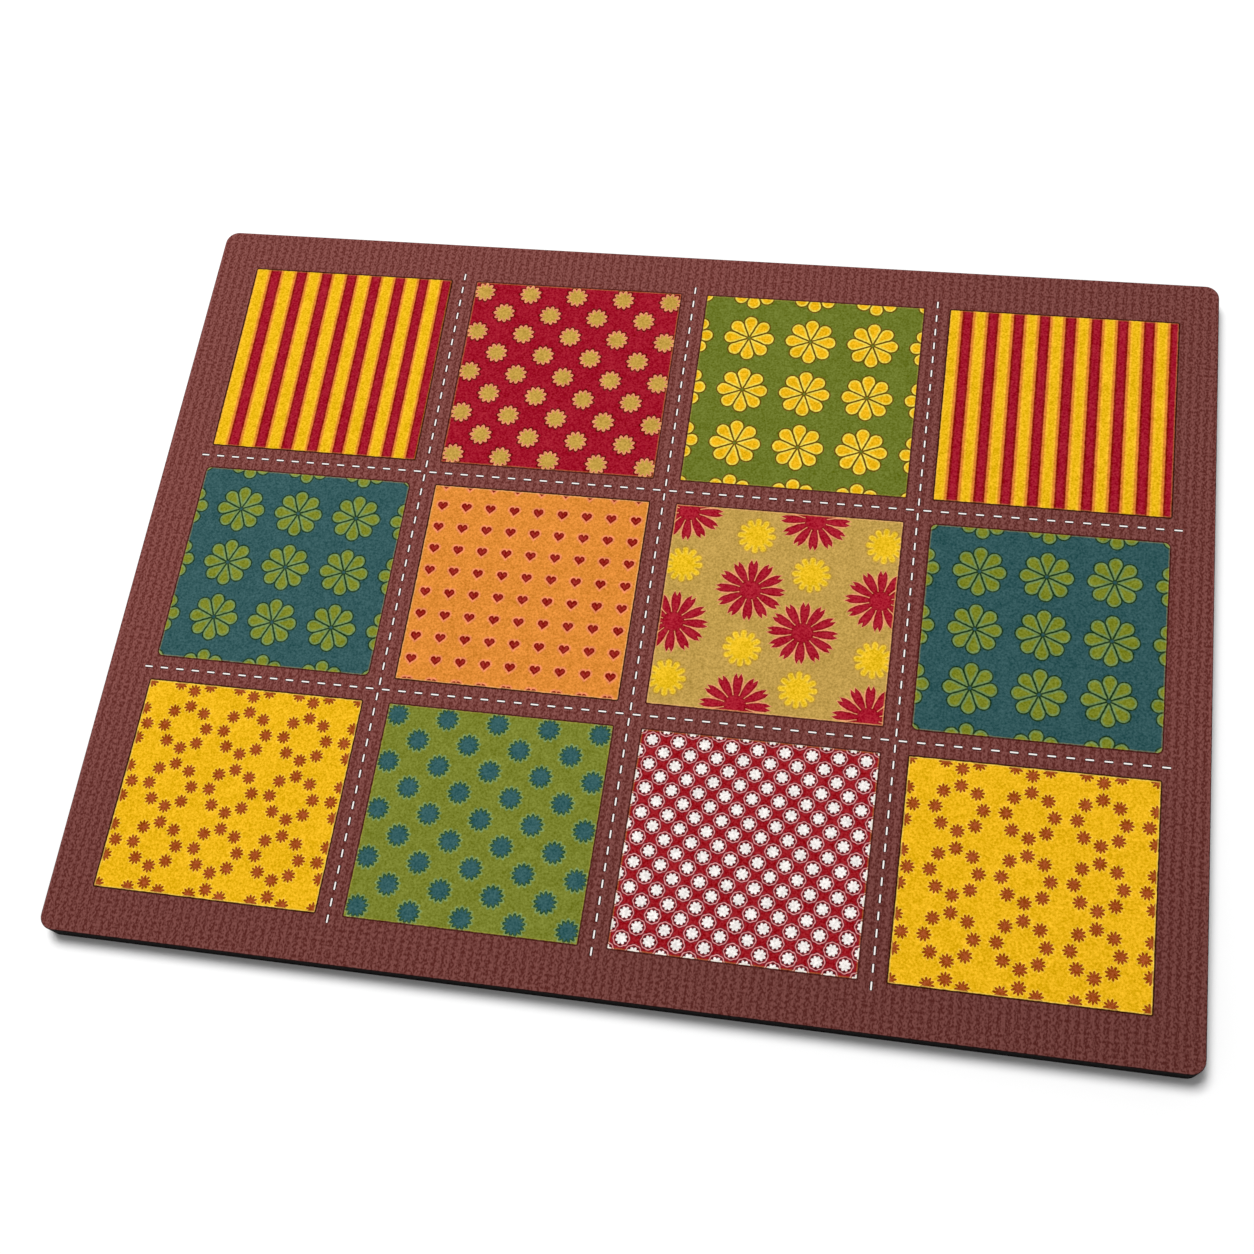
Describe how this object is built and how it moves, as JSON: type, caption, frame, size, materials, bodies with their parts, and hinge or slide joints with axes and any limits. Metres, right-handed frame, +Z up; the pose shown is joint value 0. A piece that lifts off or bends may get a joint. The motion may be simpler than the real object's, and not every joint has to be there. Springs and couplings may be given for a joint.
{
  "type": "non-slip trivet",
  "caption": "Flat rectangular table mat with small rounded corners: a printed patchwork cloth face laminated to a black non-slip rubber base.",
  "frame": {"origin": "middle of the underside, on the surface that the mat lies on", "axes": "+X along the width, to the right as seen in use; +Y from the front edge to the back edge; +Z up, out of the printed face"},
  "size_m": [0.27, 0.2, 0.006],
  "materials": {
    "printed_cloth": "matt, fine smooth weave, printed",
    "black_rubber": "matt, fine closed foam grain"
  },
  "bodies": {
    "root": {"cloth_face": "printed_cloth", "rubber_base": "black_rubber"}
  },
  "joints": []
}
